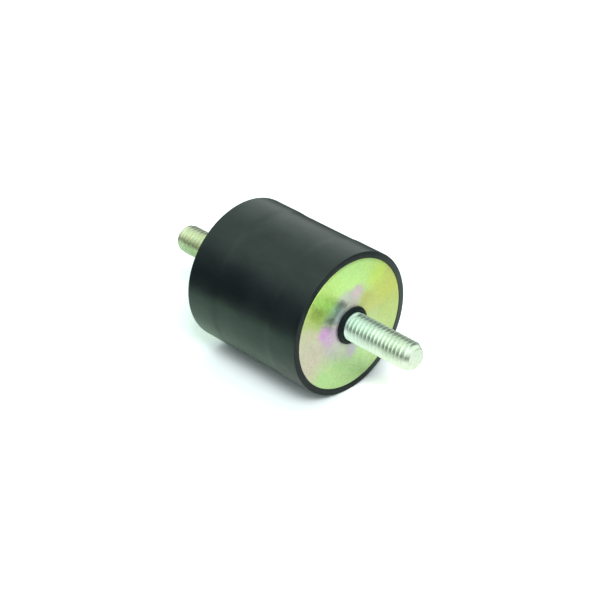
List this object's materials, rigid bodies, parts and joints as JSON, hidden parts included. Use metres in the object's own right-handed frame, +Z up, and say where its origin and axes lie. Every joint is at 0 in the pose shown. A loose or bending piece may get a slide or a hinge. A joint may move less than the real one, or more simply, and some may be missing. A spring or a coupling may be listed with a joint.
{
  "type": "bobbin vibration mount",
  "caption": "Cylindrical rubber vibration mount with a bonded steel end plate and a threaded stud at each end.",
  "frame": {"origin": "middle of the rubber body, on the axis of the mount", "axes": "+X along the axis towards the front stud, +Z up with the mount lying on its side, +Y to complete a right-handed frame"},
  "size_m": [0.086, 0.04, 0.04],
  "materials": {
    "rubber": "matte to satin moulded black rubber with a faint green-grey cast",
    "passivated_plate": "zinc plated and yellow passivated, satin, with green, yellow and violet bands",
    "plated_stud": "bright zinc plate with a faint blue-green tint"
  },
  "bodies": {
    "root": {"rubber_body": "rubber", "front_plate": "passivated_plate", "rear_plate": "passivated_plate", "front_stud": "plated_stud", "rear_stud": "plated_stud"}
  },
  "joints": []
}
